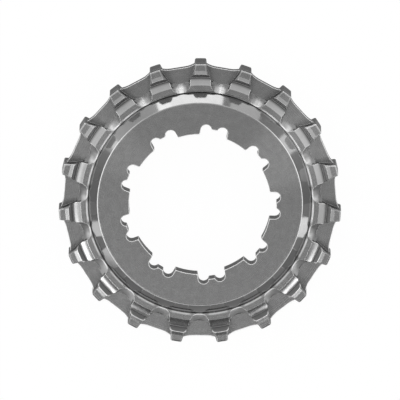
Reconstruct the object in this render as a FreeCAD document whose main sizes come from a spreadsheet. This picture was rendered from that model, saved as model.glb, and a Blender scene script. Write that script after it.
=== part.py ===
import FreeCAD, Part
import Sketcher
import os

# Belt drive sprocket for a splined rear hub, machined from one piece of stainless steel.
# Millimetres. The hub's axis is Z. The sprocket lies on the ends of its back teeth, the
# face of its hub looks up and the middle of one tooth lies on +Y.

doc = FreeCAD.newDocument("belt_sprocket")

SIZES = {
    # Belt and teeth
    "tooth_count": 19,
    "belt_pitch": 11.0,
    "pitch_line_offset": 1.12,
    "tooth_length": 9.8,
    "tooth_tip_width": 2.5,
    "tooth_base_width": 2.86,
    "tooth_corner": 0.4,
    "tooth_flare_width": 4.26,
    "tooth_flare_drop": 3.45,
    "edge_bevel": 0.3,
    "edge_bevel_depth": 0.15,
    "flank_bevel": 0.25,
    "flank_bevel_depth": 0.3,
    # Flange that runs round the middle of the teeth
    "flange_thickness": 2.0,
    "flange_drop": 1.17,
    "flange_rise_run": 2.2,
    "flank_land": 0.1,
    # Turned ends of the teeth: how far in from the tips and how deep below the crest
    "tip_land": 1.5,
    "tip_land_depth": 0.25,
    "crest_drop": 2.35,
    "groove_drop": 3.15,
    "groove_width": 0.2,
    "groove_depth": 2.15,
    "slope_drop": 5.03,
    "shoulder_depth": 1.45,
    "ring_drop": 6.57,
    "ring_bevel": 0.3,
    # Sloping ports between the teeth, which let mud out of the belt
    "port_overcut": 0.15,
    "port_floor_run": 2.0,
    "port_foot_half": 2.2,
    "port_foot_rise": 0.65,
    "trough_radius": 2.4,
    # Hub: raised face, polished cone round it, splined bore
    "hub_rise": 0.2,
    "hub_thickness": 4.8,
    "hub_bevel": 0.2,
    "hub_bevel_depth": 0.08,
    "cone_width": 2.2,
    "cone_angle": 45.0,
    "bore_radius": 16.12,
    "spline_count": 9,
    "spline_turn": 10.7,
    "spline_width": 6.15,
    "spline_depth": 1.25,
    "relief_radius": 1.2,
    "relief_sink": 0.2,
    # Cutters run this far past what they cut
    "overrun": 0.6,
}

sizes = doc.addObject("Spreadsheet::Sheet", "sizes")
for row, (alias, number) in enumerate(SIZES.items(), start=1):
    sizes.set(f"A{row}", alias)
    sizes.set(f"B{row}", str(number))
    sizes.setAlias(f"B{row}", alias)
doc.recompute()

# Levels and radii that follow from the driving sizes
DERIVED = {
    "half_step": "180 / sizes.tooth_count",
    "tip_radius": "sizes.belt_pitch * sizes.tooth_count / (2 * pi) - sizes.pitch_line_offset",
    "flange_radius": "tip_radius - sizes.flange_drop",
    "flare_radius": "tip_radius - sizes.tooth_flare_drop",
    "ring_radius": "tip_radius - sizes.ring_drop",
    "hub_radius": "ring_radius - sizes.cone_width",
    "middle": "sizes.tooth_length / 2",
    "hub_face": "sizes.tooth_length + sizes.hub_rise",
    "hub_back": "hub_face - sizes.hub_thickness",
    "cone_top": "hub_face - sizes.hub_bevel_depth",
    "cone_foot": "cone_top - sizes.cone_width * tan(sizes.cone_angle)",
    "spline_floor": "sizes.bore_radius + sizes.spline_depth",
    "relief_centre": "spline_floor - sizes.relief_sink",
    "shoulder_level": "middle - sizes.shoulder_depth",
    "land_level": "middle - sizes.tip_land_depth",
    "groove_level": "middle - sizes.groove_depth",
    "flange_level": "sizes.flange_thickness / 2",
    "bevel_level": "land_level - sizes.flank_bevel_depth",
    "over_level": "middle + sizes.overrun",
    "flank_taper": "(sizes.tooth_base_width - sizes.tooth_tip_width) / 2 / sizes.flange_drop",
    "rise_radius": "tip_radius - sizes.tooth_corner - sizes.flank_land",
    "rise_half": "sizes.tooth_tip_width / 2 + flank_taper * (tip_radius - rise_radius)",
    "rise_x": "rise_radius * sin(half_step) - rise_half * cos(half_step)",
    "rise_y": "rise_radius * cos(half_step) + rise_half * sin(half_step)",
    "rise_height": "rise_y - flange_radius",
    "rise_bend": "(sizes.flange_rise_run ^ 2 + rise_height ^ 2) / (2 * rise_height)",
    "port_foot": "ring_radius - sizes.port_overcut + sizes.port_floor_run",
    "foot_bend": "(sizes.port_foot_half ^ 2 + sizes.port_foot_rise ^ 2) / (2 * sizes.port_foot_rise)",
    "port_fall": "shoulder_level - flange_level",
    "trough_tilt": "atan(sizes.port_floor_run / port_fall)",
    "trough_length": "(port_fall + sizes.hub_rise + sizes.shoulder_depth + sizes.overrun)"
                     " / cos(trough_tilt)",
    "trough_start": "port_foot - trough_length * sin(trough_tilt)"
                    " + sizes.trough_radius * cos(trough_tilt)",
    "trough_start_level": "flange_level + trough_length * cos(trough_tilt)"
                          " + sizes.trough_radius * sin(trough_tilt)",
}

derived = doc.addObject("Spreadsheet::Sheet", "derived")
for row, (alias, formula) in enumerate(DERIVED.items(), start=1):
    derived.set(f"A{row}", alias)
    derived.set(f"B{row}", "=" + formula)
    derived.setAlias(f"B{row}", alias)
doc.recompute()

body = doc.addObject("PartDesign::Body", "belt_sprocket")
body.Label = "belt_sprocket"


def origin_feature(role):
    """One of the body's own origin planes or axes."""
    return next(item for item in body.Origin.OriginFeatures if item.Role == role)


def value(formula):
    """Number that a formula gives now, for a sketch's first guess."""
    return float(sizes.evalExpression(formula))


def sketch_on(name, role, level=None):
    """Empty sketch on an origin plane, lifted to a level."""
    sketch = body.newObject("Sketcher::SketchObject", name)
    sketch.AttachmentSupport = [(origin_feature(role), "")]
    sketch.MapMode = "FlatFace"
    if level is not None:
        sketch.setExpression("AttachmentOffset.Base.z", level)
    return sketch


def pin(sketch, index, end, corner):
    """Hold one end of an edge at a corner whose coordinates are formulas."""
    for kind, formula in (("DistanceX", corner[0]), ("DistanceY", corner[1])):
        number = sketch.addConstraint(
            Sketcher.Constraint(kind, -1, 1, index, end, value(formula))
        )
        sketch.setExpression(f"Constraints[{number}]", formula)


def draw_outline(sketch, corners):
    """Closed outline through corners (x, y, bend), each coordinate a formula.

    bend is None for a straight edge to the next corner, or the radius formula of an arc,
    with a minus sign in front where the arc turns clockwise.
    """
    points = [FreeCAD.Vector(value(x), value(y), 0) for x, y, bend in corners]
    for index, (x, y, bend) in enumerate(corners):
        start = points[index]
        end = points[(index + 1) % len(points)]
        if bend is None:
            sketch.addGeometry(Part.LineSegment(start, end), False)
            continue
        clockwise = bend.startswith("-")
        radius = value(bend.lstrip("-"))
        chord = end - start
        left = FreeCAD.Vector(-chord.y, chord.x, 0).normalize()
        reach = max(radius**2 - (chord.Length / 2) ** 2, 0) ** 0.5
        side = 1 if clockwise else -1
        mid = (start + end) * 0.5 + left * side * (radius - reach)
        sketch.addGeometry(Part.Arc(start, mid, end), False)
    for index, (x, y, bend) in enumerate(corners):
        follower = (index + 1) % len(corners)
        ends = [2, 1]
        if bend is not None and bend.startswith("-"):
            ends[0] = 1
        if corners[follower][2] is not None and corners[follower][2].startswith("-"):
            ends[1] = 2
        sketch.addConstraint(
            Sketcher.Constraint("Coincident", index, ends[0], follower, ends[1])
        )
        pin(sketch, follower, ends[1], corners[follower])
        if bend is not None:
            radius = bend.lstrip("-")
            number = sketch.addConstraint(Sketcher.Constraint("Radius", index, value(radius)))
            sketch.setExpression(f"Constraints[{number}]", radius)


def mirror_corners(corners, upright=True):
    """The corners of a half outline, then the same ones on the other side of an axis.

    The axis is the sketch's upright one, or its level one.
    """
    bends = [bend for x, y, bend in corners]
    other = []
    for index in range(len(corners) - 1, -1, -1):
        x, y, bend = corners[index]
        next_bend = bends[index - 1] if index > 0 else None
        if upright:
            other.append((f"-({x})", y, next_bend))
        else:
            other.append((x, f"-({y})", next_bend))
    return corners + other


def polar_copies(name, originals, count):
    """Copies of features evenly round the axis."""
    pattern = body.newObject("PartDesign::PolarPattern", name)
    pattern.Originals = originals
    pattern.Axis = (origin_feature("Z_Axis"), [""])
    pattern.Angle = 360
    pattern.setExpression("Occurrences", count)
    body.Tip = pattern
    doc.recompute()
    return pattern


def gap_point(half_width, radius):
    """Formulas of a point on a tooth's flank, seen from the middle of the gap beside it.

    The gap's middle lies on -Y, the tooth's axis half a step round from it, and the point
    is half_width from that axis at a height of radius along it.
    """
    x = f"({radius}) * sin(derived.half_step) - ({half_width}) * cos(derived.half_step)"
    y = f"-(({radius}) * cos(derived.half_step) + ({half_width}) * sin(derived.half_step))"
    return x, y


# Turned blank: hub, cone, ring and the ends of the teeth, the same on both sides of the flange.
# Levels in this sketch count from the middle of the teeth.
blank_sketch = sketch_on("blank_section", "XZ_Plane")
blank_sketch.setExpression("AttachmentOffset.Base.y", "derived.middle")
tooth_end = [
    ("derived.ring_radius", "derived.shoulder_level - sizes.ring_bevel", None),
    ("derived.ring_radius + sizes.ring_bevel", "derived.shoulder_level", None),
    ("derived.tip_radius - sizes.slope_drop", "derived.shoulder_level", None),
    ("derived.tip_radius - sizes.groove_drop - sizes.groove_width", "derived.groove_level", None),
    ("derived.tip_radius - sizes.groove_drop", "derived.groove_level", None),
    ("derived.tip_radius - sizes.crest_drop", "derived.middle", None),
    ("derived.tip_radius - sizes.tip_land", "derived.land_level", None),
    ("derived.tip_radius - sizes.edge_bevel", "derived.land_level", None),
    ("derived.tip_radius", "derived.land_level - sizes.edge_bevel_depth", None),
]
section = [
    ("sizes.bore_radius", "derived.hub_back - derived.middle", None),
    ("sizes.bore_radius", "derived.hub_face - derived.middle", None),
    ("derived.hub_radius - sizes.hub_bevel", "derived.hub_face - derived.middle", None),
    ("derived.hub_radius", "derived.cone_top - derived.middle", None),
    ("derived.ring_radius", "derived.cone_foot - derived.middle", None),
]
section += mirror_corners(tooth_end, upright=False)
section.append(("derived.hub_radius", "derived.hub_back - derived.middle", None))
draw_outline(blank_sketch, section)
doc.recompute()

blank = body.newObject("PartDesign::Revolution", "turned_blank")
blank.Profile = blank_sketch
blank.ReferenceAxis = (origin_feature("Z_Axis"), [""])
blank.Angle = 360
body.Tip = blank
doc.recompute()
blank_volume = body.Shape.Volume

# Gap between two teeth, cut right through: straight flange edge, a rise to each tooth,
# the tooth's side and its rounded corner
gap_half = [
    (
        *gap_point(
            "sizes.tooth_tip_width / 2 - sizes.tooth_corner",
            "derived.tip_radius + 2 * sizes.overrun",
        ),
        None,
    ),
    (
        *gap_point("sizes.tooth_tip_width / 2 - sizes.tooth_corner", "derived.tip_radius"),
        "-sizes.tooth_corner",
    ),
    (
        *gap_point(
            "sizes.tooth_tip_width / 2 + derived.flank_taper * sizes.tooth_corner",
            "derived.tip_radius - sizes.tooth_corner",
        ),
        None,
    ),
    ("derived.rise_x", "-derived.rise_y", "derived.rise_bend"),
    ("derived.rise_x - sizes.flange_rise_run", "-derived.flange_radius", None),
]
gap_sketch = sketch_on("gap_outline", "XY_Plane")
draw_outline(gap_sketch, mirror_corners(gap_half))
gap = body.newObject("PartDesign::Pocket", "gap")
gap.Profile = gap_sketch
gap.Type = 1
gap.Midplane = True
body.Tip = gap
doc.recompute()
polar_copies("gaps", [gap], "sizes.tooth_count")
gap_volume = body.Shape.Volume


# Ports between the teeth, on both sides of the flange. The flanks of the teeth run straight
# down to the flange and have a bevel along their top edges. The floor is a round trough that
# slopes from the ring's inner edge down to the flange.
far = "derived.tip_radius + 2 * sizes.overrun"
port_half = [
    (*gap_point("sizes.tooth_tip_width / 2 - derived.flank_taper * 2 * sizes.overrun", far), None),
    (*gap_point("sizes.tooth_base_width / 2", "derived.flange_radius"), None),
    (*gap_point("sizes.tooth_flare_width / 2", "derived.flare_radius"), None),
    (
        "sizes.port_foot_half",
        "-(derived.port_foot + sizes.port_foot_rise)",
        "derived.foot_bend",
    ),
]
bevel_half = port_half[:3]
port_features = []
for side, sign in (("front", "+"), ("back", "-")):
    port_sketch = sketch_on(f"{side}_port_outline", "XY_Plane",
                            f"derived.middle {sign} derived.flange_level")
    draw_outline(port_sketch, mirror_corners(port_half))
    port = body.newObject("PartDesign::Pocket", f"{side}_port")
    port.Profile = port_sketch
    port.Type = 0
    port.Reversed = sign == "+"
    port.setExpression("Length", "derived.over_level - derived.flange_level")
    body.Tip = port

    bevel_sketch = sketch_on(f"{side}_bevel_outline", "XY_Plane",
                             f"derived.middle {sign} derived.bevel_level")
    draw_outline(bevel_sketch, mirror_corners(bevel_half))
    bevel = body.newObject("PartDesign::Pocket", f"{side}_flank_bevel")
    bevel.Profile = bevel_sketch
    bevel.Type = 0
    bevel.Reversed = sign == "+"
    bevel.setExpression("Length", "derived.over_level - derived.bevel_level")
    bevel.setExpression("TaperAngle", "atan(sizes.flank_bevel / sizes.flank_bevel_depth)")
    body.Tip = bevel

    trough_sketch = sketch_on(f"{side}_trough_section", "XY_Plane")
    tilt = -1 if sign == "+" else 1
    trough_sketch.AttachmentOffset = FreeCAD.Placement(
        FreeCAD.Vector(), FreeCAD.Rotation(FreeCAD.Vector(tilt, 0, 0), 1)
    )
    trough_sketch.setExpression("AttachmentOffset.Rotation.Angle", "derived.trough_tilt")
    trough_sketch.setExpression("AttachmentOffset.Base.y", "-derived.trough_start")
    trough_sketch.setExpression("AttachmentOffset.Base.z",
                                f"derived.middle {sign} derived.trough_start_level")
    trough_sketch.addGeometry(
        Part.Circle(FreeCAD.Vector(), FreeCAD.Vector(0, 0, 1), value("sizes.trough_radius")), False
    )
    trough_sketch.addConstraint(Sketcher.Constraint("Coincident", 0, 3, -1, 1))
    trough_sketch.addConstraint(Sketcher.Constraint("Radius", 0, value("sizes.trough_radius")))
    trough_sketch.setExpression("Constraints[1]", "sizes.trough_radius")
    trough = body.newObject("PartDesign::Pocket", f"{side}_trough")
    trough.Profile = trough_sketch
    trough.Type = 0
    trough.Reversed = sign != "+"
    trough.setExpression("Length", "derived.trough_length")
    body.Tip = trough
    doc.recompute()
    port_features += [port, bevel, trough]
polar_copies("ports", port_features, "sizes.tooth_count")
port_volume = body.Shape.Volume

# Splined bore: grooves with straight sides, and a round relief in each of their corners
relief_side = "(sizes.spline_width / 2 - sizes.relief_radius)"
relief_height = f"sqrt(derived.relief_centre ^ 2 - {relief_side} ^ 2)"
floor_lift = f"(derived.spline_floor - {relief_height})"
bump_half = f"{relief_side} - sqrt(sizes.relief_radius ^ 2 - {floor_lift} ^ 2)"
groove_half = [
    ("sizes.spline_width / 2", "sizes.bore_radius - 2 * sizes.overrun", None),
    ("sizes.spline_width / 2", relief_height, "sizes.relief_radius"),
    (relief_side, f"{relief_height} + sizes.relief_radius", "sizes.relief_radius"),
    (bump_half, "derived.spline_floor", None),
]
groove_sketch = sketch_on("spline_outline", "XY_Plane")
groove_sketch.AttachmentOffset = FreeCAD.Placement(
    FreeCAD.Vector(), FreeCAD.Rotation(FreeCAD.Vector(0, 0, -1), 1)
)
groove_sketch.setExpression("AttachmentOffset.Rotation.Angle", "sizes.spline_turn")
draw_outline(groove_sketch, mirror_corners(groove_half))
spline_groove = body.newObject("PartDesign::Pocket", "spline_groove")
spline_groove.Profile = groove_sketch
spline_groove.Type = 1
spline_groove.Midplane = True
body.Tip = spline_groove
doc.recompute()
polar_copies("spline_grooves", [spline_groove], "sizes.spline_count")

volumes = [blank_volume, gap_volume, port_volume, body.Shape.Volume]
if sorted(volumes, reverse=True) != volumes or len(set(volumes)) < len(volumes):
    raise RuntimeError(f"A cut removed nothing: {volumes}")
for item in doc.Objects:
    if "Invalid" in item.State or "Error" in item.State:
        raise RuntimeError(f"{item.Name} failed: {item.State}")
if body.Shape.isNull() or not body.Shape.isValid():
    raise RuntimeError("The sprocket's shape is not valid")
if len(body.Shape.Solids) != 1:
    raise RuntimeError("The sprocket is not one solid")

os.makedirs("parts", exist_ok=True)
body.Shape.exportStep(f"parts/{body.Label}.step")
box = body.Shape.optimalBoundingBox(True, False)
print("Volume", round(body.Shape.Volume, 1), "mm3")
print("Box", round(box.XLength, 2), round(box.YLength, 2), round(box.ZLength, 2), "mm")
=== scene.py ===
"""Looks of the belt drive sprocket: its steel, the paper under it, the light and the camera."""

import math
from types import SimpleNamespace

import bpy
from mathutils import Matrix, Vector

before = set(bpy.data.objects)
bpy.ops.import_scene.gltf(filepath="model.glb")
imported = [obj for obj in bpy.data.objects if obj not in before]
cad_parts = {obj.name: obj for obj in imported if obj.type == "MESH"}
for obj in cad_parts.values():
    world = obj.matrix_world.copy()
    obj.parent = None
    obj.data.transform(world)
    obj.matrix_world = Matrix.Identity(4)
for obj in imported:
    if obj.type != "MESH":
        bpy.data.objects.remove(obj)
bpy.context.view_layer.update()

MM = 0.001
TOOTH_COUNT = 19

# Radii and heights of the sprocket, in metres from its axis and from the floor
RELIEF_RADIUS = 18.37 * MM
HUB_RADIUS = 23.37 * MM
RING_RADIUS = 25.57 * MM
SLOPE_RADIUS = 27.11 * MM
PORT_FOOT = 27.80 * MM
GROOVE_RADIUS = 28.80 * MM
CREST_RADIUS = 29.79 * MM
TIP_RADIUS = 32.14 * MM
HUB_FACE = 10.0 * MM
SHOULDER = 8.35 * MM
CONE_FOOT = 7.72 * MM
GROOVE = 7.65 * MM
WEB = 5.9 * MM

# Levels along +Y, the picture's up, where painted light or shade set by place ends, and the run it
# fades over
UPPER_PART = (-7.0 * MM, 6.0 * MM)
LOWER_PART = (-16.0 * MM, 8.0 * MM)
LOWEST_PART = (-25.0 * MM, 3.0 * MM)
RIM_PAINTED_HIGHLIGHT_TOP = (14.0 * MM, 6.0 * MM)
RING_HIGHLIGHT_STOP_TOP = (20.0 * MM, 4.5 * MM)

# Painted highlights on the edges: openness inwards where they are full and where they end
EDGE_FULL, EDGE_NONE = 0.55, 0.86

# Strength of the painted highlight line on the hub's rim
RIM_PAINTED_HIGHLIGHT = 0.8

# Strength of the painted glint line on the ring between the teeth, what a tooth adds, and both
# again for the upper part
RING_PAINTED_GLINT, RING_PAINTED_GLINT_TOOTH = 0.10, 0.43
RING_PAINTED_GLINT_UPPER, RING_PAINTED_GLINT_UPPER_TOOTH = 0.20, 0.22

# Spans round the axis, with their softness, as shares of a pitch from the pocket's middle
BETWEEN_TEETH = (-0.20, 0.20, 0.08)
PORT_PAINTED_GLINT_SPAN = (-0.06, 0.06, 0.12)
PORT_PAINTED_GLINT_LEAN = 0.20

# Shades of the steel from 0, black, to 1, white, and what is added to them or taken off, painted
# light and shade among them; the web has painted shade, darker by its slant at the top tips and
# lighter by it at the bottom ones
MOTTLE_ENDS = (0.30, 0.70)
FACE_SHADES = (0.300, 0.328)
WALL_SHADE = 0.34
EDGE_HIGHLIGHT_SHADE = 0.90
FACE_LEVEL = 0.97
WEB_PAINTED_SHADE = 0.03
WEB_PAINTED_SHADE_SLANT = 0.06
SLOPE_GAIN = 0.06
GROOVE_GAIN = 0.08
PORT_GAIN = 0.06
PORT_PAINTED_GLINT = 0.30
LOWER_PORT_PAINTED_LIGHT = 0.22
SLOPE_END_PAINTED_SHADE = 0.62
LOWEST_SLOPE_END_PAINTED_SHADE = 0.35
GROOVE_BOTTOM_PAINTED_SHADE = 0.5
PAINTED_SHEEN_GAIN = 0.30

# Painted sheen, faint lighter wedges on the faces: azimuth, cosines where each starts and is full,
# strength
PAINTED_SHEEN_WEDGES = ((59, 0.90, 0.995, 1.0), (303, 0.95, 0.998, 0.6))

# Roughness of the steel, and what is added to it or taken off
FACE_ROUGHNESS = 0.27
CONE_ROUGHNESS = 0.10
EDGE_ROUGHNESS = 0.36
MOTTLE_ROUGHNESS = 0.04
RINGS_ROUGHNESS = 0.06
SLOPE_SMOOTHING = 0.06
PORT_SMOOTHING = 0.05
GROOVE_ROUGHENING = 0.18

# Share of the metal that dull places lose
EDGE_DULLING = 0.6
PORT_DULLING = 0.4

# Relief that only the light shows
HOLLOW_DEPTH = 0.20 * MM
GRAIN_DEPTH = 0.02 * MM
GRAIN_STRENGTH = 0.15
CORNER_RADIUS = 0.12 * MM
EDGE_REACH = 0.30 * MM

# Paper under the sprocket, in metres: painted glow full out to one radius, pale grey from the next
# one on
PAPER_SIZE = 30
PAINTED_GLOW_RADIUS = 64.5 * MM
PALE_RADIUS = 77.0 * MM
PALE_LEVEL = 0.36
PAPER_SHADE = 0.85
GLOW_SHARE = 0.975

# Light tent: levels by the sine of the elevation, ahead of the viewer and behind, and the
# share of +Y between which one turns into the other
TENT = ((0.00, 0.34), (0.16, 0.50), (0.28, 1.90), (0.52, 1.90),
        (0.62, 1.15), (0.80, 1.10), (0.95, 0.90), (1.00, 0.85))
TENT_BEHIND = ((0.00, 0.34), (0.30, 0.26), (0.60, 0.10), (0.85, 0.13), (0.95, 0.60), (1.00, 0.85))
TENT_TURN = (-0.50, -0.25)

# Opening in the tent for the lens: its direction, the cosines where its edge runs, its level
LENS_UP, LENS_BACK = 0.986, 0.165
OPENING_EDGE = (0.955, 0.992)
OPENING_LEVEL = 0.30

# Lamps: name, azimuth and elevation in degrees, distance, width and height in metres, radiance
SOFTBOXES = (
    ("far_low", -6.5, 5.5, 0.20, 0.148, 0.05, 2.05),
    ("far_left", 317, 6, 0.20, 0.18, 0.05, 0.40),
    ("far_right", 29, 6, 0.20, 0.07, 0.05, 0.66),
    ("right_spot", 62, 4, 0.20, 0.040, 0.045, 0.9),
    ("left_spot", 298, 4, 0.20, 0.020, 0.045, 0.8),
    ("right_low", 112, 6, 0.14, 0.035, 0.034, 1.9),
    ("left_low", 238, 7, 0.115, 0.060, 0.034, 1.3),
    ("right_high", 144, 58, 0.7, 0.20, 0.26, 3.5),
    ("left_high", 224, 59, 0.7, 0.28, 0.26, 4.0),
    ("left_side", 263, 61, 0.7, 0.12, 0.20, 1.2),
)

# Camera: angles in degrees, lengths in metres, sensor in millimetres, offsets in pixels
CAMERA_TILT = 9.5
CAMERA_ROLL = 0.3
CAMERA_DISTANCE = 3.0
CAMERA_FIELD = 0.0909
CAMERA_REACH = 50
SENSOR_WIDTH = 36.0
PICTURE_WIDTH = 400
OFFSET_UP = 4.4
OFFSET_RIGHT = 0.1


class Wire:
    """Socket of a node tree that can be used in sums."""

    def __init__(self, tree, socket):
        self.tree = tree
        self.socket = socket

    def join(self, operation, *others):
        """Result of a maths node that takes this wire and the others."""
        node = self.tree.nodes.new("ShaderNodeMath")
        node.operation = operation
        for place, item in enumerate((self, *others)):
            if isinstance(item, Wire):
                self.tree.links.new(item.socket, node.inputs[place])
            else:
                node.inputs[place].default_value = item
        return Wire(self.tree, node.outputs[0])

    def blend(self, value, share):
        """This wire where the share is 0, the value where it is 1."""
        return self * (1 - share) + value * share

    def __add__(self, other):
        return self.join("ADD", other)

    def __sub__(self, other):
        return self.join("SUBTRACT", other)

    def __mul__(self, other):
        return self.join("MULTIPLY", other)

    def __truediv__(self, other):
        return self.join("DIVIDE", other)

    def __radd__(self, other):
        return self + other

    def __rmul__(self, other):
        return self * other

    def __rsub__(self, other):
        return self * -1 + other


class Finish:
    """Node tree of a material or of the world, filled node by node."""

    def __init__(self, owner):
        owner.use_nodes = True
        self.tree = owner.node_tree
        self.tree.nodes.clear()
        kind = "World" if isinstance(owner, bpy.types.World) else "Material"
        self.output = self.add("ShaderNodeOutput" + kind)

    def add(self, kind, settings=None, stops=None, numbered=None, **named):
        """New node with its settings, the stops of its ramp and its inputs by number or name."""
        node = self.tree.nodes.new(kind)
        for name, setting in (settings or {}).items():
            setattr(node, name, setting)
        if stops:
            ramp = node.color_ramp.elements
            while len(ramp) < len(stops):
                ramp.new(1.0)
            for element, (place, level) in zip(ramp, stops):
                element.position = place
                element.color = (level, level, level, 1)
        inputs = {name.replace("_", " "): item for name, item in named.items()}
        inputs.update(numbered or {})
        for key, item in inputs.items():
            if isinstance(item, Wire):
                self.tree.links.new(item.socket, node.inputs[key])
            else:
                node.inputs[key].default_value = item
        return node

    def wire(self, node, name=0):
        """Output of a node, by its name or number."""
        return Wire(self.tree, node.outputs[name])

    def slide(self, wire, low, high, start=0.0, end=1.0, smooth=False):
        """From start to end while the wire goes from low to high, and level beyond them."""
        settings = {"interpolation_type": "SMOOTHSTEP"} if smooth else None
        return self.wire(self.add(
            "ShaderNodeMapRange", settings, Value=wire,
            From_Min=low, From_Max=high, To_Min=start, To_Max=end))

    def above(self, wire, level, soft):
        """1 above the level, falling to 0 over soft beneath it."""
        return self.slide(wire, level - soft, level)

    def below(self, wire, level, soft):
        """1 below the level, falling to 0 over soft past it."""
        return 1 - self.slide(wire, level, level + soft)

    def band(self, wire, low, high, soft):
        """1 where the wire lies between low and high, falling to 0 over soft outside them."""
        return self.above(wire, low, soft) * self.below(wire, high, soft)

    def grey(self, level):
        """Colour with the same level in red, green and blue."""
        return self.wire(self.add(
            "ShaderNodeCombineColor", Red=level, Green=level, Blue=level))

    def surface(self, shader):
        """The shader becomes the surface of the material or the world."""
        self.tree.links.new(shader.outputs[0], self.output.inputs["Surface"])


class SteelFinish(Finish):
    """Finish of the sprocket, with its coordinates and its two textures."""

    def __init__(self, owner):
        super().__init__(owner)
        place = self.wire(self.add("ShaderNodeTexCoord"), "Object")
        axes = self.add("ShaderNodeSeparateXYZ", Vector=place)
        self.x, self.y, self.z = (self.wire(axes, name) for name in "XYZ")
        self.radius = (self.x * self.x + self.y * self.y).join("SQRT")
        pitches = self.x.join("ARCTAN2", self.y) * (TOOTH_COUNT / math.tau)
        self.from_pocket = pitches.join("FRACT") - 0.5
        self.upper = self.above(self.y, *UPPER_PART)
        self.mottle = self.wire(self.add(
            "ShaderNodeTexNoise", Vector=place, Scale=700.0, Detail=5.0, Roughness=0.6), "Fac")
        self.rings = self.wire(self.add(
            "ShaderNodeTexNoise", {"noise_dimensions": "1D"},
            W=self.radius, Scale=9000.0, Detail=3.0, Roughness=0.7), "Fac")

    def zone(self, radii, blur, heights, rise):
        """1 between two radii and two heights; blur and rise soften each pair outwards."""
        return self.band(self.radius, *radii, blur) * self.band(self.z, *heights, rise)


def turned_zones(steel):
    """Masks of the parts of the sprocket that don't look like its flat faces."""
    cone = steel.zone(
        radii=(HUB_RADIUS + 0.05 * MM, RING_RADIUS - 0.02 * MM), blur=0.04 * MM,
        heights=(CONE_FOOT - 0.02 * MM, HUB_FACE), rise=0.02 * MM)
    ring = steel.zone(
        radii=(RING_RADIUS - 0.01 * MM, RING_RADIUS + 0.32 * MM), blur=0.05 * MM,
        heights=(CONE_FOOT + 0.05 * MM, SHOULDER), rise=0.10 * MM)
    rim = steel.zone(
        radii=(HUB_RADIUS - 0.10 * MM, HUB_RADIUS), blur=0.03 * MM,
        heights=(HUB_FACE - 0.12 * MM, HUB_FACE), rise=0.04 * MM)
    slope = steel.zone(
        radii=(SLOPE_RADIUS, GROOVE_RADIUS), blur=0.10 * MM,
        heights=(GROOVE, SHOULDER), rise=0.10 * MM)
    groove = steel.zone(
        radii=(GROOVE_RADIUS, CREST_RADIUS - 0.1 * MM), blur=0.10 * MM,
        heights=(GROOVE - 0.1 * MM, HUB_FACE), rise=0.20 * MM)
    bottom = steel.zone(
        radii=(GROOVE_RADIUS - 0.1 * MM, GROOVE_RADIUS + 0.25 * MM), blur=0.1 * MM,
        heights=(GROOVE - 0.1 * MM, GROOVE + 0.15 * MM), rise=0.1 * MM)
    port = steel.band(steel.radius, RING_RADIUS + 0.05 * MM, PORT_FOOT, 0.10 * MM) \
        * steel.above(steel.z, WEB + 0.30 * MM, 0.25 * MM) \
        * steel.below(steel.z, SHOULDER - 0.12 * MM, 0.05 * MM) * (1 - slope)
    tips = steel.band(steel.radius, TIP_RADIUS - 0.12 * MM, TIP_RADIUS, 0.10 * MM)
    bore = steel.below(steel.radius, RELIEF_RADIUS + 0.05 * MM, 0.03 * MM) \
        * steel.below(steel.z, HUB_FACE - 0.06 * MM, 0.04 * MM)
    web = steel.below(steel.z, WEB + 0.02 * MM, 0.05 * MM)
    return SimpleNamespace(
        cone=cone, ring=ring, rim=rim, slope=slope, groove=groove, bottom=bottom,
        port=port, walls=tips + bore, web=web)


def painted_edge_highlights(steel, zones):
    """Painted highlights on the edges, with the painted lines of the ring and of the hub's rim."""
    # Painted highlight on the convex edges, found from how open they are inwards
    inward = steel.wire(steel.add(
        "ShaderNodeAmbientOcclusion", {"inside": True, "only_local": True, "samples": 8},
        Distance=EDGE_REACH), "AO")
    edge_highlight = steel.slide(inward, EDGE_FULL, EDGE_NONE, 1.0, 0.0)
    in_groove = steel.band(
        steel.radius, GROOVE_RADIUS - 0.4 * MM, GROOVE_RADIUS + 0.5 * MM, 0.1 * MM)
    at_crest = steel.upper * steel.band(
        steel.radius, GROOVE_RADIUS, CREST_RADIUS + 0.06 * MM, 0.08 * MM)
    edge_highlight = edge_highlight * (1 - in_groove.join("MAXIMUM", at_crest))

    # Painted glint line on the ring, stronger at the teeth and in the upper part; near the ring at
    # the top the painted edge highlights stop
    at_tooth = 1 - steel.band(steel.from_pocket, *BETWEEN_TEETH)
    ring_painted_glint = RING_PAINTED_GLINT + at_tooth * RING_PAINTED_GLINT_TOOTH \
        + steel.upper * (RING_PAINTED_GLINT_UPPER + at_tooth * RING_PAINTED_GLINT_UPPER_TOOTH)
    near_ring = steel.band(
        steel.radius, HUB_RADIUS - 0.5 * MM, RING_RADIUS + 0.6 * MM, 0.2 * MM)
    at_top = 1 - steel.below(steel.y, *RING_HIGHLIGHT_STOP_TOP)
    edge_highlight = edge_highlight.join("MAXIMUM", zones.ring * ring_painted_glint) * (1 - near_ring * at_top)

    # Painted highlight line on the hub's rim, fading out toward the top
    rim_painted_highlight = zones.rim * steel.below(steel.y, *RIM_PAINTED_HIGHLIGHT_TOP) * RIM_PAINTED_HIGHLIGHT
    return edge_highlight.join("MAXIMUM", rim_painted_highlight)


def painted_sheen_wedges(steel):
    """Painted sheen: faint lighter wedges on the faces, to the right and left of the top."""
    wedges = []
    for azimuth, start, full, strength in PAINTED_SHEEN_WEDGES:
        around = math.radians(azimuth)
        toward = (steel.x * math.sin(around) + steel.y * math.cos(around)) / steel.radius
        wedges.append(steel.slide(toward, start, full, smooth=True) * strength)
    return sum(wedges)


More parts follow.
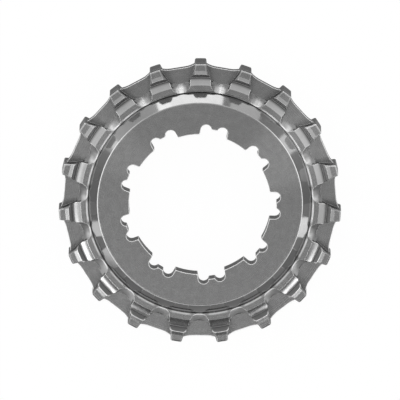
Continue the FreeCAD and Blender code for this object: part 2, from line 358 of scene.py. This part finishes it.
def steel_shade(steel, zones, edge_highlight):
    """Grey level of the steel over the sprocket."""
    shade = steel.slide(steel.mottle, *MOTTLE_ENDS, *FACE_SHADES)
    # Painted shade on the web: a little darker all over, and darker at the top and lighter at the
    # bottom
    level = FACE_LEVEL - zones.web * WEB_PAINTED_SHADE - zones.web * steel.y * (WEB_PAINTED_SHADE_SLANT / TIP_RADIUS)
    # Painted sheen wedges lighten the faces to the right and left of the top
    shade = shade * level * (1 + painted_sheen_wedges(steel) * PAINTED_SHEEN_GAIN)

    # Painted shade on the slope's end toward the groove, in the upper part and in the lowest part
    toward_groove = steel.slide(
        steel.radius, GROOVE_RADIUS - 0.75 * MM, GROOVE_RADIUS - 0.05 * MM, smooth=True)
    lowest = steel.below(steel.y, *LOWEST_PART)
    slope_painted_shade = steel.upper * SLOPE_END_PAINTED_SHADE + lowest * LOWEST_SLOPE_END_PAINTED_SHADE
    shade = (shade + zones.slope * SLOPE_GAIN) * (1 - zones.slope * toward_groove * slope_painted_shade)

    # Painted glint in the ports near the ring in the upper part, leaning with the azimuth, and
    # painted light on the lower ports
    lean = steel.x / steel.radius * PORT_PAINTED_GLINT_LEAN
    spot = steel.band(steel.from_pocket - lean, *PORT_PAINTED_GLINT_SPAN) * steel.upper \
        * steel.band(steel.radius, RING_RADIUS, RING_RADIUS + 1.1 * MM, 0.5 * MM)
    lower = steel.below(steel.y, *LOWER_PART)
    port_tone_and_painted_light = PORT_GAIN + spot * PORT_PAINTED_GLINT + lower * LOWER_PORT_PAINTED_LIGHT
    shade = shade + zones.groove * GROOVE_GAIN + zones.port * port_tone_and_painted_light
    # Painted shade in the bottom of the groove
    shade = shade * (1 - zones.bottom * GROOVE_BOTTOM_PAINTED_SHADE)
    # The tip and bore walls take their own shade, and the edges their painted highlight
    return shade.blend(WALL_SHADE, zones.walls).blend(EDGE_HIGHLIGHT_SHADE, edge_highlight)


def steel_roughness(steel, zones, edge_highlight):
    """Satin faces, polished cone, smoother slopes and ports, rougher groove."""
    rough = FACE_ROUGHNESS + (steel.mottle - 0.5) * MOTTLE_ROUGHNESS \
        + (steel.rings - 0.5) * RINGS_ROUGHNESS
    rough = rough - zones.slope * SLOPE_SMOOTHING - zones.port * PORT_SMOOTHING \
        + zones.groove * GROOVE_ROUGHENING
    return rough.blend(CONE_ROUGHNESS, zones.cone).blend(EDGE_ROUGHNESS, edge_highlight)


def steel_normal(steel, zones):
    """Rounded corners, the hollow of the slopes and the fine rings of the turning tool."""
    rounded = steel.add("ShaderNodeBevel", {"samples": 6}, Radius=CORNER_RADIUS)
    # The slope is steep at the shoulder and nearly flat at the groove
    run = steel.slide(steel.radius, SLOPE_RADIUS, GROOVE_RADIUS)
    risen = steel.slide(steel.z, WEB + 0.3 * MM, GROOVE)
    curved = steel.add(
        "ShaderNodeBump", Height=run * run * risen, Strength=1.0, Distance=HOLLOW_DEPTH,
        Normal=steel.wire(rounded))
    grain = steel.rings * (1 - zones.cone) * (1 - zones.slope)
    turned = steel.add(
        "ShaderNodeBump", Height=grain, Strength=GRAIN_STRENGTH, Distance=GRAIN_DEPTH,
        Normal=steel.wire(curved))
    return steel.wire(turned)


def machined_steel():
    """Turned and milled stainless steel: satin faces, polished cone, walls of their own shade,
    painted highlights on the edges.
    """
    material = bpy.data.materials.new("machined_steel")
    steel = SteelFinish(material)
    zones = turned_zones(steel)
    edge_highlight = painted_edge_highlights(steel, zones)
    steel.surface(steel.add(
        "ShaderNodeBsdfPrincipled",
        Base_Color=steel.grey(steel_shade(steel, zones, edge_highlight)),
        Metallic=1 - edge_highlight * EDGE_DULLING - zones.port * PORT_DULLING,
        Specular_Tint=(0.2, 0.2, 0.2, 1),
        Roughness=steel_roughness(steel, zones, edge_highlight),
        Normal=steel_normal(steel, zones),
    ))
    return material


def paper_floor():
    """White paper with a painted glow, full round the sprocket and falling off to pale grey."""
    bpy.ops.object.select_all(action="DESELECT")
    bpy.ops.mesh.primitive_plane_add(size=PAPER_SIZE, location=(0, 0, 0))
    floor = bpy.context.object
    floor.name = "paper_floor"
    material = bpy.data.materials.new("white_paper")
    finish = Finish(material)

    path = finish.add("ShaderNodeLightPath")
    seen = finish.wire(path, "Is Camera Ray") + finish.wire(path, "Is Glossy Ray") \
        + finish.wire(path, "Is Transmission Ray")
    place = finish.wire(finish.add("ShaderNodeTexCoord"), "Object")
    away = finish.wire(finish.add(
        "ShaderNodeVectorMath", {"operation": "LENGTH"}, Vector=place), "Value")
    # Painted glow on the paper: full round the sprocket, falling to pale grey farther out
    level = finish.slide(away, PAINTED_GLOW_RADIUS, PALE_RADIUS, 1.0, PALE_LEVEL, smooth=True)
    paper = finish.add(
        "ShaderNodeBsdfDiffuse", Color=(PAPER_SHADE, PAPER_SHADE, PAPER_SHADE, 1))
    glow = finish.add("ShaderNodeEmission", Color=finish.grey(level), Strength=1.0)
    finish.surface(finish.add(
        "ShaderNodeMixShader", numbered={1: finish.wire(paper), 2: finish.wire(glow)},
        Fac=seen.join("MINIMUM", 1.0) * GLOW_SHARE))
    floor.data.materials.append(material)


def studio_sky():
    """Soft light tent: bright walls, greyer overhead and at the horizon, dark behind the viewer."""
    world = bpy.data.worlds.new("studio_sky")
    bpy.context.scene.world = world
    sky = Finish(world)
    direction = sky.wire(sky.add("ShaderNodeTexCoord"), "Generated")
    axes = sky.add("ShaderNodeSeparateXYZ", Vector=direction)
    height, forward = sky.wire(axes, "Z"), sky.wire(axes, "Y")
    tent, behind = (
        sky.wire(sky.add("ShaderNodeValToRGB", stops=stops, Fac=height), "Color")
        for stops in (TENT, TENT_BEHIND))
    # Inputs 6 and 7 and output 2 are the colours of a Mix node
    both = sky.add(
        "ShaderNodeMix", {"data_type": "RGBA"}, numbered={6: behind, 7: tent},
        Factor=sky.slide(forward, *TENT_TURN))
    toward_lens = height * LENS_UP - forward * LENS_BACK
    opening = sky.slide(toward_lens, *OPENING_EDGE, 1.0, OPENING_LEVEL, smooth=True)
    sky.surface(sky.add(
        "ShaderNodeBackground", Color=sky.wire(both, 2), Strength=opening))


def heading(azimuth, elevation):
    """Direction from the sprocket; azimuth runs clockwise from +Y as seen from above."""
    around, up = math.radians(azimuth), math.radians(elevation)
    return Vector((math.sin(around) * math.cos(up), math.cos(around) * math.cos(up), math.sin(up)))


def softbox(name, azimuth, elevation, distance, width, height, radiance):
    """Area lamp that faces the sprocket."""
    lamp = bpy.data.lights.new(name, "AREA")
    lamp.shape = "RECTANGLE"
    lamp.size = width
    lamp.size_y = height
    lamp.energy = radiance * math.pi * width * height
    item = bpy.data.objects.new(name, lamp)
    toward = heading(azimuth, elevation)
    item.location = toward * distance
    item.rotation_euler = toward.to_track_quat("Z", "Y").to_euler()
    bpy.context.scene.collection.objects.link(item)


def camera():
    """Long lens, tipped from straight above toward the top of the picture and turned a little."""
    tilt = math.radians(CAMERA_TILT)
    roll = math.radians(CAMERA_ROLL)
    pixel = CAMERA_FIELD / PICTURE_WIDTH
    data = bpy.data.cameras.new("camera")
    data.sensor_width = SENSOR_WIDTH
    data.lens = SENSOR_WIDTH * CAMERA_DISTANCE / CAMERA_FIELD
    data.clip_end = CAMERA_REACH
    item = bpy.data.objects.new("camera", data)
    level = Vector((1, 0, 0))
    steep = Vector((0, math.cos(tilt), -math.sin(tilt)))
    right = level * math.cos(roll) + steep * math.sin(roll)
    up = steep * math.cos(roll) - level * math.sin(roll)
    back = right.cross(up)
    target = Vector((0, 0, HUB_FACE)) + up * OFFSET_UP * pixel + right * OFFSET_RIGHT * pixel
    place = target + back * CAMERA_DISTANCE
    item.matrix_world = Matrix((
        (right.x, up.x, back.x, place.x),
        (right.y, up.y, back.y, place.y),
        (right.z, up.z, back.z, place.z),
        (0, 0, 0, 1),
    ))
    bpy.context.scene.collection.objects.link(item)
    bpy.context.scene.camera = item


steel_material = machined_steel()
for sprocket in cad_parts.values():
    for slot in sprocket.material_slots:
        slot.material = steel_material

camera()
paper_floor()
studio_sky()
for box in SOFTBOXES:
    softbox(*box)

bpy.context.scene.view_settings.view_transform = "Standard"
